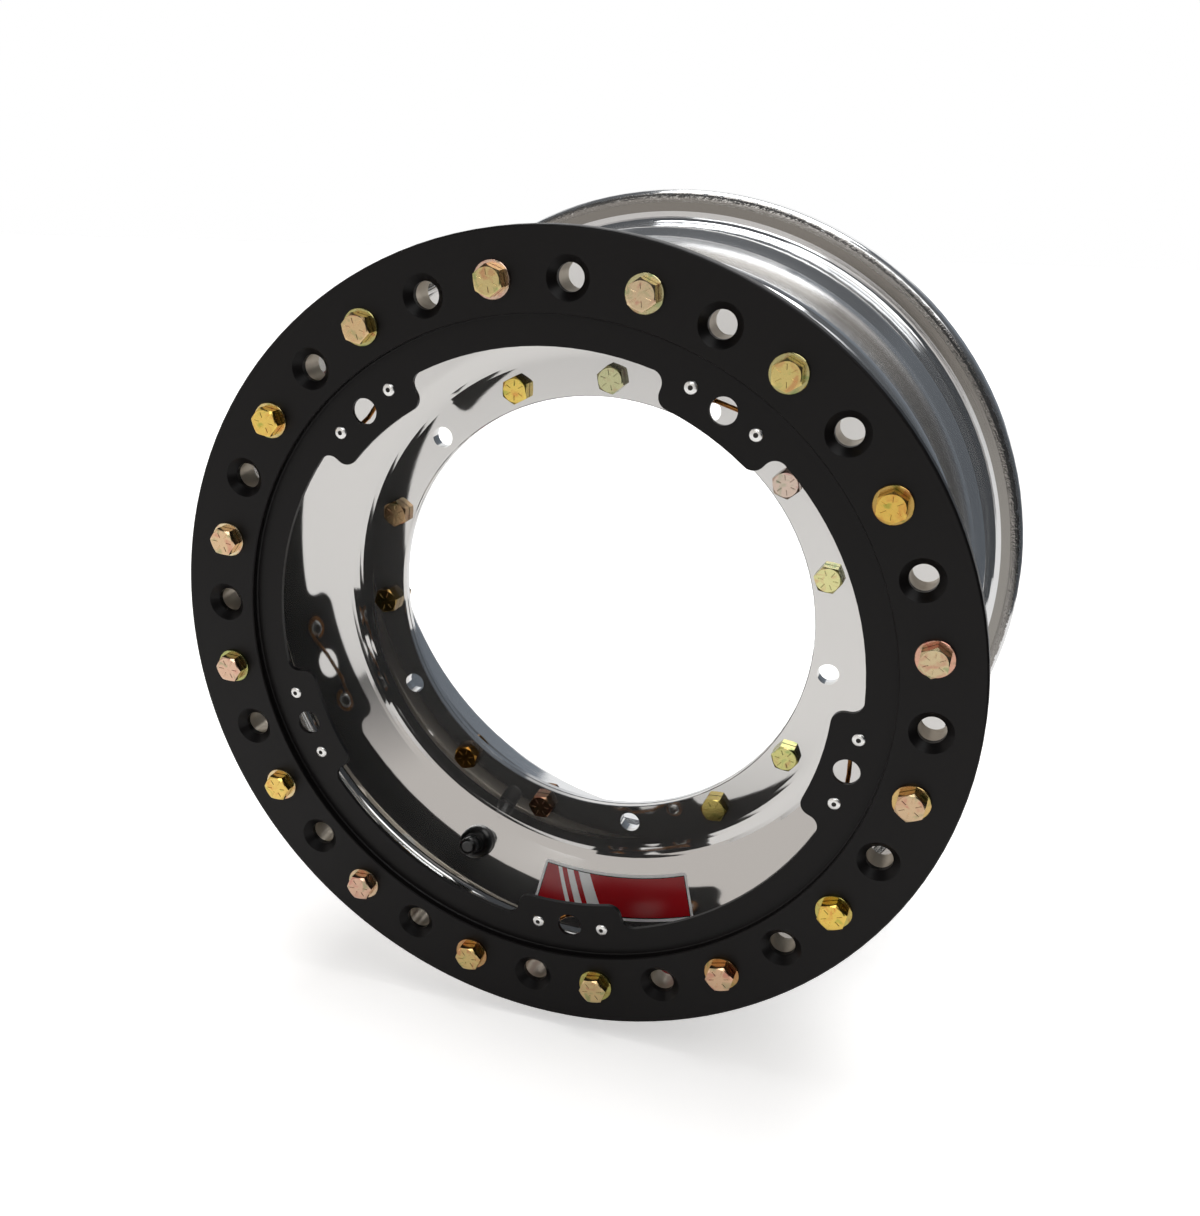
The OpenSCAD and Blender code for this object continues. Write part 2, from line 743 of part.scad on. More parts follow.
// Ribbed plastic cap screwed over the end of the stem
cap_ribs = 12;
cap_rib_w = 0.9;
cap_rib_h = 0.35;
cap_collar = 0.8;
cap_foot_gap = 0.3;
cap_over = 3.4;
cap_round = 2.2;
cap_play = 0.05;
module valve_cap() {
    foot = valve_rubber_h + cap_foot_gap;
    top = valve_stem_h + cap_over;
    stem_room = valve_stem_h + cap_foot_gap - foot;
    r = valve_cap_d / 2;
    color([0.15, 0.15, 0.15]) on_axle() at_valve() difference() {
        union() {
            rotate_extrude($fn = small) polygon(concat(
                [
                    [0, foot],
                    [r, foot]
                ],
                arc([r - cap_round, top - cap_round], cap_round, 0, 90, bend_steps),
                [[0, top]]
            ));
            for (k = [0:cap_ribs - 1]) rotate([0, 0, 360 * k / cap_ribs])
                translate([r / 2, -cap_rib_w / 2, foot + cap_collar])
                    cube([r / 2 + cap_rib_h, cap_rib_w, top - cap_round - foot - 2 * cap_collar]);
        }
        translate([0, 0, foot - cut])
            cylinder(h = stem_room + cut, r = valve_stem_d / 2 + cap_play, $fn = small);
    }
}

// Thin printed sheet with rounded corners, lying on the dish
decal_t = 0.15;
decal_corner = 2;
edge_steps = 24;
module decal() {
    from = decal_reach;
    to = decal_reach + decal_h;
    function dish_front(r) = outboard_face - (r - dish_r) * tan(dish_slope);
    side = decal_angle / 2;
    inner_turn = asin(decal_corner / (from + decal_corner));
    outer_turn = asin(decal_corner / (to - decal_corner));
    function polar(r, a) = r * [cos(a), sin(a)];
    one_end = concat(
        arc(polar(from + decal_corner, side - inner_turn), decal_corner, side + 180, side + 90, bend_steps),
        arc(polar(to - decal_corner, side - outer_turn), decal_corner, side + 90, side, bend_steps)
    );
    other_end = [for (p = backwards(one_end)) [p[0], -p[1]]];
    function long_edge(r, a) = [for (k = [1:edge_steps - 1]) polar(r, a - 2 * a * k / edge_steps)];
    outer_edge = long_edge(to, side - outer_turn);
    inner_edge = long_edge(from, inner_turn - side);
    color("crimson") on_axle() at_angle(decal_phase) intersection() {
        rotate_extrude($fn = turned) polygon([
            [from - cut, dish_front(from - cut)],
            [to + cut, dish_front(to + cut)],
            [to + cut, dish_front(to + cut) - decal_t],
            [from - cut, dish_front(from - cut) - decal_t]
        ]);
        translate([0, 0, ring_back]) linear_extrude(height = front_reach)
            polygon(concat(one_end, outer_edge, other_end, inner_edge));
    }
}

outer_half();
inner_half();
joint_sealant();
bead_flange();
beadlock_ring();
join_bolts();
join_nuts();
beadlock_bolts();
beadlock_washers();
threaded_inserts();
for (i = [1:tabs]) cover_spring(i);
spring_rivets();
rivet_mandrels();
valve_body();
valve_stem();
valve_core();
valve_seal();
valve_spring();
valve_pin();
valve_cap();
decal();
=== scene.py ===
import math
import random

import bpy
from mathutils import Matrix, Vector
from mathutils.bvhtree import BVHTree


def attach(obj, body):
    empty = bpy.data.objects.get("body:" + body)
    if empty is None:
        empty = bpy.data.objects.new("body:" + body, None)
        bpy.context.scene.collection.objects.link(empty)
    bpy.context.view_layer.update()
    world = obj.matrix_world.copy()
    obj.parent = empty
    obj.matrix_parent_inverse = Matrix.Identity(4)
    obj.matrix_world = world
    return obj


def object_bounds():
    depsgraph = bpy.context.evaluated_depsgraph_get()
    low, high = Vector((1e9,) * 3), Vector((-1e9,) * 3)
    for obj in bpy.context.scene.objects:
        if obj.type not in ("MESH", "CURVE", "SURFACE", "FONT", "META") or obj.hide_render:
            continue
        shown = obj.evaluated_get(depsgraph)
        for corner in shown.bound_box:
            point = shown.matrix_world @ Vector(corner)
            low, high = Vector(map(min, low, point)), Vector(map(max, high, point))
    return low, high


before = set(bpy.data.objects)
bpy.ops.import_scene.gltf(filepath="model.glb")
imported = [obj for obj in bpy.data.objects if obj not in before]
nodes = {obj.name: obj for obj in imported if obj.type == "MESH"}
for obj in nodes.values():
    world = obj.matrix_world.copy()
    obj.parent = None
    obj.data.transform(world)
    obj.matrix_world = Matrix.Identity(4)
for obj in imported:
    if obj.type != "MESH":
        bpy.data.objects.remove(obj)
cad_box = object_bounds()

# Camera: the pinhole camera that fits the photo, with its place in metres and its angles in degrees
PHOTO_WIDTH, PHOTO_HEIGHT = 1200, 1216
CAMERA_AT = (0.2070, -0.6436, 0.2391)
CAMERA_AZIMUTH, CAMERA_ELEVATION = 20.5, 20.9
FOCAL_PIXELS = 1337.5
CENTRE_PIXEL = (543.8, 640.4)
SENSOR_MM = 36.0
NEAR_CLIP, FAR_CLIP = 0.01, 50

camera_data = bpy.data.cameras.new("camera")
camera_data.sensor_fit = "HORIZONTAL"
camera_data.sensor_width = SENSOR_MM
camera_data.lens = FOCAL_PIXELS / PHOTO_WIDTH * SENSOR_MM
camera_data.shift_x = (PHOTO_WIDTH / 2 - CENTRE_PIXEL[0]) / PHOTO_WIDTH
camera_data.shift_y = (CENTRE_PIXEL[1] - PHOTO_HEIGHT / 2) / PHOTO_WIDTH
camera_data.clip_start, camera_data.clip_end = NEAR_CLIP, FAR_CLIP
camera = bpy.data.objects.new("camera", camera_data)
camera.location = CAMERA_AT
camera.rotation_euler = (math.radians(90 - CAMERA_ELEVATION), 0, math.radians(CAMERA_AZIMUTH))
bpy.context.collection.objects.link(camera)
bpy.context.scene.camera = camera
bpy.context.scene.view_settings.view_transform = "Standard"


def linear(colour):
    """An sRGB hex colour as linear RGBA."""
    parts = [int(colour[i:i + 2], 16) / 255 for i in (1, 3, 5)]
    return [c / 12.92 if c <= 0.04045 else ((c + 0.055) / 1.055) ** 2.4 for c in parts] + [1.0]


def put(tree, kind, inputs=None, **settings):
    """Adds a node with its settings, and gives its inputs a value or a link."""
    node = tree.nodes.new(kind)
    for name, value in settings.items():
        setattr(node, name, value)
    for key, value in (inputs or {}).items():
        if isinstance(value, bpy.types.NodeSocket):
            tree.links.new(value, node.inputs[key])
        else:
            node.inputs[key].default_value = value
    return node


def stops(node, *pairs):
    """Sets the stops of a colour ramp: place along it and colour, as hex or as one grey level."""
    ramp = node.color_ramp
    while len(ramp.elements) < len(pairs):
        ramp.elements.new(1.0)
    for element, (place, colour) in zip(ramp.elements, pairs):
        element.position = place
        element.color = linear(colour) if isinstance(colour, str) else (colour, colour, colour, 1)
    return node


def new_material(name):
    """A material with its node tree and its Principled BSDF."""
    material = bpy.data.materials.new(name)
    material.use_nodes = True
    tree = material.node_tree
    return material, tree, tree.nodes["Principled BSDF"]


def wheel_places(tree):
    """The place, its distance from the axle, its wheel angle, and its distance along the axle."""
    place = put(tree, "ShaderNodeTexCoord").outputs["Object"]
    x, y, z = put(tree, "ShaderNodeSeparateXYZ", {0: place}).outputs
    flat = put(tree, "ShaderNodeCombineXYZ", {0: x, 2: z}).outputs[0]
    radius = put(tree, "ShaderNodeVectorMath", {0: flat}, operation="LENGTH").outputs["Value"]
    angle = put(tree, "ShaderNodeMath", {0: x, 1: z}, operation="ARCTAN2").outputs[0]
    return place, radius, angle, y


# Materials. Noise scales count the cells in a metre, and bump distances are in metres
MM_PER_M = 1000
FINE_BUMP, COARSE_BUMP = 0.0001, 0.0002
# A noise mostly stays between these two values
NOISE_LOW, NOISE_HIGH = 0.3, 0.7

# Spun aluminium: a polished spinning keeps a little scatter, so that even black is grey in its mirror
ALUMINIUM_HAZE = 0.91
BROAD_LINES = 120
LINE_STRETCH = 0.004
LINE_SHADES = (0.7, 1.3)
# Middle and half width of the bead face from the axle, how far back it lies at most, and its grey, which is
# painted shade for the dark room that this polished face mirrors
BEAD_FACE = (0.1995, 0.0035)
BEAD_FACE_END = 0.1275
BEAD_FACE_PAINTED_SHADE = "#94918c"


def spun_aluminium(name, shade, line_mm, line_depth, roughness):
    """Spun aluminium, polished while it turned: a mirror with faint concentric lines left by the lathe."""
    material, tree, skin = new_material(name)
    _, radius, angle, along = wheel_places(tree)
    # The lines run round the axle, so the noise changes fast across them and slowly along them
    track = put(tree, "ShaderNodeMath", {0: radius, 1: along}, operation="ADD").outputs[0]
    slow = put(tree, "ShaderNodeMath", {0: angle, 1: LINE_STRETCH}, operation="MULTIPLY").outputs[0]
    where = put(tree, "ShaderNodeCombineXYZ", {0: track, 1: slow}).outputs[0]
    lines = put(tree, "ShaderNodeTexNoise",
                {"Vector": where, "Scale": MM_PER_M / line_mm, "Detail": 3.0, "Roughness": 0.6}).outputs[0]
    broad = put(tree, "ShaderNodeTexNoise",
                {"Vector": where, "Scale": BROAD_LINES / line_mm, "Detail": 2.0}).outputs[0]
    both = put(tree, "ShaderNodeMath", {0: lines, 1: broad}, operation="ADD").outputs[0]
    bump = put(tree, "ShaderNodeBump", {"Height": both, "Strength": line_depth, "Distance": FINE_BUMP})
    low, high = (roughness * share for share in LINE_SHADES)
    shades = put(tree, "ShaderNodeMapRange", {0: broad, 1: NOISE_LOW, 2: NOISE_HIGH, 3: low, 4: high})
    # The face that the tyre bead presses on is painted a darker grey, as painted shade for the dark room that
    # its polished metal mirrors
    ring = put(tree, "ShaderNodeMath", {0: radius, 1: BEAD_FACE[0], 2: BEAD_FACE[1]},
               operation="COMPARE").outputs[0]
    front = put(tree, "ShaderNodeMath", {0: along, 1: BEAD_FACE_END}, operation="LESS_THAN").outputs[0]
    painted_shade_face = put(tree, "ShaderNodeMath", {0: ring, 1: front}, operation="MULTIPLY").outputs[0]
    tint = put(tree, "ShaderNodeMix", {0: painted_shade_face, 6: linear(shade), 7: linear(BEAD_FACE_PAINTED_SHADE)},
               data_type="RGBA")
    tree.links.new(tint.outputs[2], skin.inputs["Base Color"])
    skin.inputs["Metallic"].default_value = ALUMINIUM_HAZE
    tree.links.new(shades.outputs[0], skin.inputs["Roughness"])
    tree.links.new(bump.outputs[0], skin.inputs["Normal"])
    return material


MILLING_MARKS, ANODISED_GRAIN = 2500.0, 5000.0


def black_anodised():
    """Milled aluminium, dyed black in the anodising bath: satin, nearly black, with fine milling marks."""
    material, tree, skin = new_material("black_anodised_aluminium")
    place, radius, _, along = wheel_places(tree)
    where = put(tree, "ShaderNodeCombineXYZ", {0: radius, 1: along}).outputs[0]
    marks = put(tree, "ShaderNodeTexNoise", {"Vector": where, "Scale": MILLING_MARKS, "Detail": 2.0})
    grain = put(tree, "ShaderNodeTexNoise", {"Vector": place, "Scale": ANODISED_GRAIN, "Detail": 2.0})
    both = put(tree, "ShaderNodeMath", {0: marks.outputs[0], 1: grain.outputs[0]}, operation="ADD")
    bump = put(tree, "ShaderNodeBump", {"Height": both.outputs[0], "Strength": 0.12, "Distance": FINE_BUMP})
    skin.inputs["Base Color"].default_value = linear("#0e0c0c")
    skin.inputs["Roughness"].default_value = 0.36
    skin.inputs["Specular IOR Level"].default_value = 0.2
    tree.links.new(bump.outputs[0], skin.inputs["Normal"])
    return material


# Yellow zinc: patches of interference colour about 6 mm wide over crystals under a millimetre
FILM_PATCHES, ZINC_CRYSTALS = 170.0, 1400.0
FILM_SHARE = 0.75
FILM_COLOURS = ((0.3, "#b8d0a4"), (0.43, "#fff2d8"), (0.55, "#fff2d8"), (0.7, "#f0b4a8"))
ZINC_ROUGHNESS = (0.13, 0.24)


def yellow_zinc(name, first_angle, tints):
    """Zinc plate with a yellow chromate film: gold with pink and green in it, no two bolts alike."""
    material, tree, skin = new_material(name)
    place, _, angle, _ = wheel_places(tree)
    # The wheel angle picks a tint: each one holds for an equal share of the turn, with a bolt at its middle
    count = len(tints)
    share = put(tree, "ShaderNodeMath", {0: angle, 1: math.radians(first_angle)},
                operation="SUBTRACT").outputs[0]
    share = put(tree, "ShaderNodeMath", {0: share, 1: count / math.tau, 2: 0.5},
                operation="MULTIPLY_ADD").outputs[0]
    share = put(tree, "ShaderNodeMath", {0: share, 1: float(count)},
                operation="FLOORED_MODULO").outputs[0]
    share = put(tree, "ShaderNodeMath", {0: share, 1: float(count)}, operation="DIVIDE").outputs[0]
    ramp = stops(put(tree, "ShaderNodeValToRGB", {0: share}),
                 *[(i / count, tint) for i, tint in enumerate(tints)])
    ramp.color_ramp.interpolation = "CONSTANT"
    film = put(tree, "ShaderNodeTexNoise",
               {"Vector": place, "Scale": FILM_PATCHES, "Detail": 2.0, "Distortion": 0.8})
    shimmer = stops(put(tree, "ShaderNodeValToRGB", {0: film.outputs[0]}), *FILM_COLOURS)
    tint = put(tree, "ShaderNodeMix", {0: FILM_SHARE, 6: ramp.outputs[0], 7: shimmer.outputs[0]},
               data_type="RGBA", blend_type="MULTIPLY")
    crystals = put(tree, "ShaderNodeTexNoise", {"Vector": place, "Scale": ZINC_CRYSTALS, "Detail": 3.0})
    bump = put(tree, "ShaderNodeBump",
               {"Height": crystals.outputs[0], "Strength": 0.1, "Distance": COARSE_BUMP})
    low, high = ZINC_ROUGHNESS
    rough = put(tree, "ShaderNodeMapRange",
                {0: crystals.outputs[0], 1: NOISE_LOW, 2: NOISE_HIGH, 3: low, 4: high})
    skin.inputs["Metallic"].default_value = 1.0
    tree.links.new(tint.outputs[2], skin.inputs["Base Color"])
    tree.links.new(rough.outputs[0], skin.inputs["Roughness"])
    tree.links.new(bump.outputs[0], skin.inputs["Normal"])
    return material


GRAIN_SHADES = (0.85, 1.15)


def grained(name, colour, metallic, roughness, grain_mm, depth, specular=0.5):
    """A plain part: one colour with the fine unevenness that its making left."""
    material, tree, skin = new_material(name)
    place = put(tree, "ShaderNodeTexCoord").outputs["Object"]
    grain = put(tree, "ShaderNodeTexNoise", {"Vector": place, "Scale": MM_PER_M / grain_mm, "Detail": 3.0})
    bump = put(tree, "ShaderNodeBump",
               {"Height": grain.outputs[0], "Strength": depth, "Distance": COARSE_BUMP})
    low, high = (roughness * share for share in GRAIN_SHADES)
    rough = put(tree, "ShaderNodeMapRange",
                {0: grain.outputs[0], 1: NOISE_LOW, 2: NOISE_HIGH, 3: low, 4: high})
    skin.inputs["Base Color"].default_value = linear(colour)
    skin.inputs["Metallic"].default_value = metallic
    skin.inputs["Specular IOR Level"].default_value = specular
    tree.links.new(rough.outputs[0], skin.inputs["Roughness"])
    tree.links.new(bump.outputs[0], skin.inputs["Normal"])
    return material


# Label: its middle in degrees from the top and metres from the axle, its half sizes and its corners
DECAL_ANGLE = 174.6
DECAL_RADIUS = 0.1655
DECAL_HALF = (0.0448, 0.0115)
DECAL_CORNER = 0.002
# The label's rim: how deep the measure from its edge goes, and where the black line and the margin start
RIM_DEPTH = 0.01
BLACK_LINE, WHITE_MARGIN = 0.81, 0.86
LABEL_RED, LABEL_WHITE = "#b4101c", "#ffffff"
# Bars from left to right, as shares of the label's width, and how far they lean
BARS = ((0.62, 0.7), (0.735, 0.785), (0.82, 0.845))
BAR_LEAN = 0.55


def printed_film():
    """Printed vinyl: a white margin, a thin black line and a red field with slanted white bars."""
    material, tree, skin = new_material("printed_vinyl_film")
    place, radius, _, _ = wheel_places(tree)
    # The label is near the bottom, so its angle is taken from there, where it doesn't jump by a turn
    down = put(tree, "ShaderNodeVectorMath", {0: place, "Scale": -1.0}, operation="SCALE").outputs[0]
    x, _, z = put(tree, "ShaderNodeSeparateXYZ", {0: down}).outputs
    turn = put(tree, "ShaderNodeMath", {0: x, 1: z}, operation="ARCTAN2").outputs[0]
    turn = put(tree, "ShaderNodeMath", {0: turn, 1: math.radians(180 - DECAL_ANGLE)},
               operation="ADD").outputs[0]
    across = put(tree, "ShaderNodeMath", {0: turn, 1: DECAL_RADIUS}, operation="MULTIPLY").outputs[0]
    height = put(tree, "ShaderNodeMath", {0: radius, 1: DECAL_RADIUS}, operation="SUBTRACT").outputs[0]
    # Distance inwards from the edge of a rounded box
    sides = []
    for value, half in ((across, DECAL_HALF[0]), (height, DECAL_HALF[1])):
        size = put(tree, "ShaderNodeMath", {0: value}, operation="ABSOLUTE").outputs[0]
        side = put(tree, "ShaderNodeMath", {0: size, 1: half - DECAL_CORNER}, operation="SUBTRACT")
        sides.append(side.outputs[0])
    outside = [put(tree, "ShaderNodeMath", {0: side, 1: 0.0}, operation="MAXIMUM").outputs[0]
               for side in sides]
    corner = put(tree, "ShaderNodeCombineXYZ", {0: outside[0], 1: outside[1]}).outputs[0]
    corner = put(tree, "ShaderNodeVectorMath", {0: corner}, operation="LENGTH").outputs["Value"]
    inside = put(tree, "ShaderNodeMath", {0: sides[0], 1: sides[1]}, operation="MAXIMUM").outputs[0]
    inside = put(tree, "ShaderNodeMath", {0: inside, 1: 0.0}, operation="MINIMUM").outputs[0]
    edge = put(tree, "ShaderNodeMath", {0: corner, 1: inside}, operation="ADD").outputs[0]
    edge = put(tree, "ShaderNodeMapRange", {0: edge, 1: DECAL_CORNER - RIM_DEPTH, 2: DECAL_CORNER}).outputs[0]
    slant = put(tree, "ShaderNodeMath", {0: height, 1: BAR_LEAN, 2: across},
                operation="MULTIPLY_ADD").outputs[0]
    slant = put(tree, "ShaderNodeMapRange", {0: slant, 1: -DECAL_HALF[0], 2: DECAL_HALF[0]}).outputs[0]
    bars = [(0.0, LABEL_RED)]
    for start, end in BARS:
        bars += [(start, LABEL_WHITE), (end, LABEL_RED)]
    field = stops(put(tree, "ShaderNodeValToRGB", {0: slant}), *bars)
    border = stops(put(tree, "ShaderNodeValToRGB", {0: edge}), (0.0, 0.0), (BLACK_LINE, 1.0))
    line = stops(put(tree, "ShaderNodeValToRGB", {0: edge}),
                 (0.0, LABEL_WHITE), (BLACK_LINE, "#101010"), (WHITE_MARGIN, LABEL_WHITE))
    for ramp in (field, border, line):
        ramp.color_ramp.interpolation = "CONSTANT"
    ink = put(tree, "ShaderNodeMix", {0: border.outputs[0], 6: field.outputs[0], 7: line.outputs[0]},
              data_type="RGBA")
    tree.links.new(ink.outputs[2], skin.inputs["Base Color"])
    skin.inputs["Roughness"].default_value = 0.16
    return material


# The tint of each bolt and washer, clockwise from near the top, and of each joining bolt, clockwise from
# the left; the joining bolts leave a place at each hub hole
LOCK_BOLT_ANGLE, JOIN_BOLT_ANGLE = -8.5, -69.4
HEAD_COLOURS = (
    "#d8cc9c", "#dacab2", "#d6c98c", "#dcbe68", "#cdc2a8", "#ceb9a2", "#ecd274", "#e4c6b0",
    "#dac8a0", "#e0cd98", "#e0c2b6", "#ead180", "#dcc0b4", "#e0c8ae", "#eed47a", "#e0c8a4",
)
# The joining bolts' tints are their chromate film's own colours, except the darkest, from the bottom round to
# the left, which are painted shade for the black ring mirrored in their heads; the nuts share these tints
JOIN_TINTS_AND_PAINTED_SHADE = (
    "#a58f74", "#a58f74", "#eed97c", "#c6cdae", "#c6cdae", "#d3c6c6", "#dde2b2", "#dde2b2",
    "#d0d498", "#b8ae6e", "#b8ae6e", "#8a7060", "#8c6a34", "#8c6a34", "#8f7c50",
)
WASHER_COLOURS = (
    "#e0c8c0", "#c8c8a6", "#b6b48a", "#b89e62", "#d4aaa0", "#ceb684", "#c2bc74", "#c8a678",
    "#bcc07c", "#cca880", "#e0ccb8", "#e0d4b4", "#b2be86", "#e6dcc4", "#dccc98", "#c0c08c",
)

materials = {
    "outer_half": spun_aluminium("mirror_spun_aluminium", "#dad9d7", 0.9, 0.03, 0.05),
    "inner_half": spun_aluminium("lathe_spun_aluminium", "#e4e5e6", 0.7, 0.11, 0.09),
    "bead_flange": spun_aluminium("turned_aluminium", "#d6cdbf", 0.25, 0.4, 0.4),
    "beadlock_ring": black_anodised(),
    "join_bolts": yellow_zinc("yellow_zinc_joining_bolts", JOIN_BOLT_ANGLE, JOIN_TINTS_AND_PAINTED_SHADE),
    "join_nuts": yellow_zinc("yellow_zinc_joining_nuts", JOIN_BOLT_ANGLE, JOIN_TINTS_AND_PAINTED_SHADE),
    "beadlock_bolts": yellow_zinc("yellow_zinc_beadlock_bolts", LOCK_BOLT_ANGLE, HEAD_COLOURS),
    "beadlock_washers": yellow_zinc("yellow_zinc_washers", LOCK_BOLT_ANGLE, WASHER_COLOURS),
    "threaded_inserts": grained("clear_zinc_steel", "#c4c4c0", 1.0, 0.3, 0.4, 0.2),
    "spring_rivets": grained("bright_aluminium_rivet", "#eeeeec", 1.0, 0.25, 0.3, 0.15),
    "rivet_mandrels": grained("broken_steel_mandrel", "#3c3a38", 1.0, 0.4, 0.3, 0.3),
    "joint_sealant": grained("cured_silicone_sealant", "#8d8f91", 0.0, 0.55, 2.5, 0.5),
    "valve_body": grained("moulded_valve_rubber", "#090807", 0.0, 0.3, 0.5, 0.12, 0.4),
    "valve_stem": grained("turned_brass_stem", "#c9a75c", 1.0, 0.25, 0.4, 0.1),
    "valve_core": grained("turned_brass_core", "#c4a465", 1.0, 0.25, 0.4, 0.1),
    "valve_seal": grained("moulded_seal_rubber", "#7c201c", 0.0, 0.5, 0.4, 0.2),
    "valve_spring": grained("drawn_spring_steel", "#b4b2ac", 1.0, 0.25, 0.3, 0.1),
    "valve_pin": grained("turned_brass_pin", "#cba95e", 1.0, 0.22, 0.4, 0.1),
    "valve_cap": grained("moulded_cap_plastic", "#0a0908", 0.0, 0.24, 0.6, 0.06, 0.5),
    "decal": printed_film(),
}
# The five cover springs share one material
spring_wire = grained("oil_tempered_spring_wire", "#8a5b2c", 1.0, 0.28, 0.5, 0.2)

for name, node in nodes.items():
    node.data.materials.clear()
    node.data.materials.append(materials.get(name, spring_wire))


# Knurled band on the rear bead flange: its radii, rows, cell and height in metres
KNURL_INNER, KNURL_OUTER = 0.2007, 0.2060
KNURL_ROWS = 10
KNURL_CELL = 0.0006
KNURL_HEIGHT, KNURL_BASE = 0.00011, 0.00002
# Most peaks are low and few are high
KNURL_POWER = 1.5
KNURL_SEED = 11
# The band's edges dip just under the flange's skin
BAND_SINK = -0.00005
# A place along the axle inside the tyre's space
TYRE_SPACE = 0.06
# The band's grey is painted shade, as dark as the painted bead face beside it, for the dark room that the
# flange mirrors
knurled_aluminium_painted_shade = spun_aluminium("knurled_aluminium_painted_shade", "#96938f", 0.4, 0.05, 0.25)


def knurled_band(name):
    """Rough band rolled into the rear bead flange so that the tyre grips: a sheet of small peaks."""
    tree = BVHTree.FromObject(nodes["inner_half"], bpy.context.evaluated_depsgraph_get())
    ray_start = 0.5 * (cad_box[1][1] + TYRE_SPACE)
    profile = []
    for row in range(KNURL_ROWS + 1):
        radius = KNURL_INNER + (KNURL_OUTER - KNURL_INNER) * row / KNURL_ROWS
        hit = tree.ray_cast(Vector((0, ray_start, radius)), Vector((0, 1, 0)))[0]
        profile.append((radius, hit.y))
    steps = int(math.tau * KNURL_OUTER / KNURL_CELL)
    draw = random.Random(KNURL_SEED)
    verts, faces = [], []
    for step in range(steps):
        turn = math.tau * step / steps
        for row, (radius, along) in enumerate(profile):
            rise = BAND_SINK
            if row not in (0, KNURL_ROWS):
                rise = KNURL_HEIGHT * draw.random() ** KNURL_POWER + KNURL_BASE
            verts.append((radius * math.sin(turn), along - rise, radius * math.cos(turn)))
    width = KNURL_ROWS + 1
    for step in range(steps):
        here, there = step * width, (step + 1) % steps * width
        for row in range(KNURL_ROWS):
            faces.append((here + row, here + row + 1, there + row + 1, there + row))
    mesh = bpy.data.meshes.new(name)
    mesh.from_pydata(verts, [], faces)
    mesh.update()
    band = bpy.data.objects.new(name, mesh)
    bpy.context.collection.objects.link(band)
    mesh.materials.append(knurled_aluminium_painted_shade)
    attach(band, "root")


knurled_band("knurled_bead_flange")

# White paper floor: what the camera sees of it is lifted to white, and the wheel's shadow stays. The paper
# ends a little right of the wheel, so the barrel's right side mirrors the dim corner; the camera alone
# sees it go on, so that the shadow fades out freely
FLOOR_DROP = 0.0006
FLOOR_LIFT = 0.48
FLOOR_HALF = 4.5
FLOOR_EDGE = 0.6

paper, tree, skin = new_material("white_paper_floor")
skin.inputs["Base Color"].default_value = linear("#f6f4f2")
skin.inputs["Roughness"].default_value = 0.9
seen = put(tree, "ShaderNodeLightPath").outputs["Is Camera Ray"]
amount = put(tree, "ShaderNodeMath", {0: seen, 1: FLOOR_LIFT}, operation="MULTIPLY").outputs[0]
tree.links.new(amount, skin.inputs["Emission Strength"])
skin.inputs["Emission Color"].default_value = (1, 1, 1, 1)
place = put(tree, "ShaderNodeNewGeometry").outputs["Position"]
right = put(tree, "ShaderNodeSeparateXYZ", {0: place}).outputs[0]
beyond = put(tree, "ShaderNodeMath", {0: right, 1: FLOOR_EDGE}, operation="GREATER_THAN").outputs[0]
mirrored = put(tree, "ShaderNodeMath", {0: 1.0, 1: seen}, operation="SUBTRACT").outputs[0]
absent = put(tree, "ShaderNodeMath", {0: beyond, 1: mirrored}, operation="MULTIPLY").outputs[0]
nothing = put(tree, "ShaderNodeBsdfTransparent").outputs[0]
cut = put(tree, "ShaderNodeMixShader", {0: absent, 1: skin.outputs[0], 2: nothing}).outputs[0]
tree.links.new(cut, tree.nodes["Material Output"].inputs["Surface"])

corners = [(x * FLOOR_HALF, y * FLOOR_HALF, 0) for x, y in ((-1, -1), (1, -1), (1, 1), (-1, 1))]
mesh = bpy.data.meshes.new("floor")
mesh.from_pydata(corners, [], [(0, 1, 2, 3)])
mesh.materials.append(paper)
floor = bpy.data.objects.new("floor", mesh)
floor.location = (0, 0, cad_box[0][2] - FLOOR_DROP)
bpy.context.collection.objects.link(floor)

# The room that the metal mirrors. Azimuths and elevations are in degrees, and azimuth 0 is the axle's
# direction, away from the camera. A white backdrop stands behind and to the left and ends just right of
# the axle, a dim corner lies right of it, and the camera's side is a pale room. All walls end in a dark
# ceiling. A bright window stands high on the right, and a soft light high behind the camera
BACKDROP_EDGE = 4.5
ROOM = (
    (-180, "#d8d3cf"), (-105, "#d8d3cf"), (-60, "#ffffff"), (BACKDROP_EDGE, "#ffffff"),
    (BACKDROP_EDGE + 1, "#767d86"), (35, "#5b6168"), (70, "#34373b"), (158, "#34373b"), (168, "#d8d3cf"),
)
# The walls fade into the ceiling between these heights of a direction
WALL_TOP = (0.5, 0.62)
CEILING = "#45484c"
WINDOW_WAY = Vector((0.5, -0.22, 0.84)).normalized()
WINDOW_HALF_ANGLE, WINDOW_SOFTNESS = 19, 0.01
WINDOW_LIGHT = (2, 2, 2, 1)
# The soft light's azimuth counts from the camera's side of the axle
SOFT_AZIMUTH, SOFT_HALF_WIDTH = 3, 12
SOFT_LOW, SOFT_HIGH = 20, 36
SOFT_LIGHT = (3, 3, 3, 1)

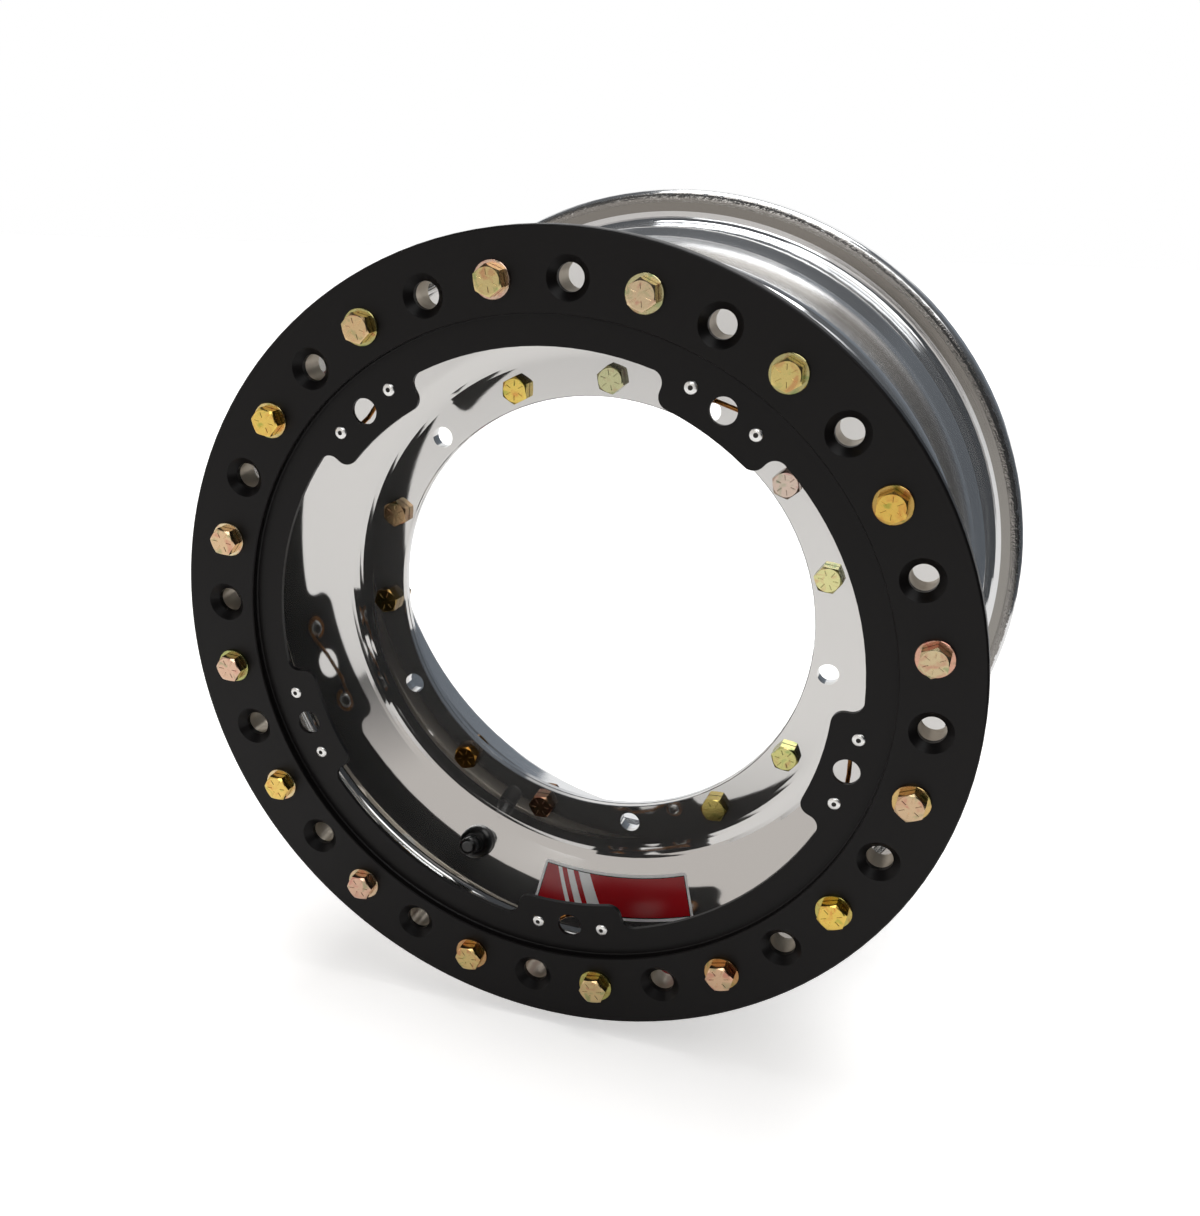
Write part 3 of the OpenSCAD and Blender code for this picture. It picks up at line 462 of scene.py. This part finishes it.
world = bpy.data.worlds.new("studio")
bpy.context.scene.world = world
world.use_nodes = True
tree = world.node_tree
tree.nodes.clear()
direction = put(tree, "ShaderNodeTexCoord").outputs["Generated"]
x, y, z = put(tree, "ShaderNodeSeparateXYZ", {0: direction}).outputs
around = put(tree, "ShaderNodeMath", {0: x, 1: y}, operation="ARCTAN2").outputs[0]
around = put(tree, "ShaderNodeMapRange", {0: around, 1: -math.pi, 2: math.pi}).outputs[0]
walls = stops(put(tree, "ShaderNodeValToRGB", {0: around}),
              *[(0.5 + azimuth / 360, colour) for azimuth, colour in ROOM])
high = put(tree, "ShaderNodeMapRange", {0: z, 1: WALL_TOP[0], 2: WALL_TOP[1]}).outputs[0]
room = put(tree, "ShaderNodeMix", {0: high, 6: walls.outputs[0], 7: linear(CEILING)},
           data_type="RGBA").outputs[2]
near = put(tree, "ShaderNodeVectorMath", {0: direction, 1: WINDOW_WAY},
           operation="DOT_PRODUCT").outputs["Value"]
edge = math.cos(math.radians(WINDOW_HALF_ANGLE))
window = put(tree, "ShaderNodeMapRange",
             {0: near, 1: edge - WINDOW_SOFTNESS, 2: edge + WINDOW_SOFTNESS}).outputs[0]
room = put(tree, "ShaderNodeMix", {0: window, 6: room, 7: WINDOW_LIGHT}, data_type="RGBA").outputs[2]
back = put(tree, "ShaderNodeVectorMath", {0: direction, "Scale": -1.0}, operation="SCALE").outputs[0]
back_x, back_y, _ = put(tree, "ShaderNodeSeparateXYZ", {0: back}).outputs
turn = put(tree, "ShaderNodeMath", {0: back_x, 1: back_y}, operation="ARCTAN2").outputs[0]
beside = put(tree, "ShaderNodeMath",
             {0: turn, 1: math.radians(SOFT_AZIMUTH), 2: math.radians(SOFT_HALF_WIDTH)},
             operation="COMPARE").outputs[0]
low, top = math.sin(math.radians(SOFT_LOW)), math.sin(math.radians(SOFT_HIGH))
level = put(tree, "ShaderNodeMath", {0: z, 1: (low + top) / 2, 2: (top - low) / 2},
            operation="COMPARE").outputs[0]
soft = put(tree, "ShaderNodeMath", {0: beside, 1: level}, operation="MULTIPLY").outputs[0]
room = put(tree, "ShaderNodeMix", {0: soft, 6: room, 7: SOFT_LIGHT}, data_type="RGBA").outputs[2]
# The camera itself sees plain white behind the wheel
seen = put(tree, "ShaderNodeLightPath").outputs["Is Camera Ray"]
white = put(tree, "ShaderNodeMix", {0: seen, 6: room, 7: (1, 1, 1, 1)}, data_type="RGBA").outputs[2]
sky = put(tree, "ShaderNodeBackground", {"Color": white, "Strength": 1.0}).outputs[0]
put(tree, "ShaderNodeOutputWorld", {"Surface": sky})

# A large softbox hangs high behind the wheel, so the shadow falls towards the camera
LAMP_AT = Vector((0.2, 1.3, 5.1))
LAMP_SIDE = 3.8
LAMP_POWER = 240
lamp_data = bpy.data.lights.new("overhead_softbox", "AREA")
lamp_data.shape = "RECTANGLE"
lamp_data.size = lamp_data.size_y = LAMP_SIDE
lamp_data.energy = LAMP_POWER
lamp = bpy.data.objects.new("overhead_softbox", lamp_data)
lamp.location = LAMP_AT
lamp.rotation_euler = (-LAMP_AT).to_track_quat("-Z", "Y").to_euler()
bpy.context.collection.objects.link(lamp)
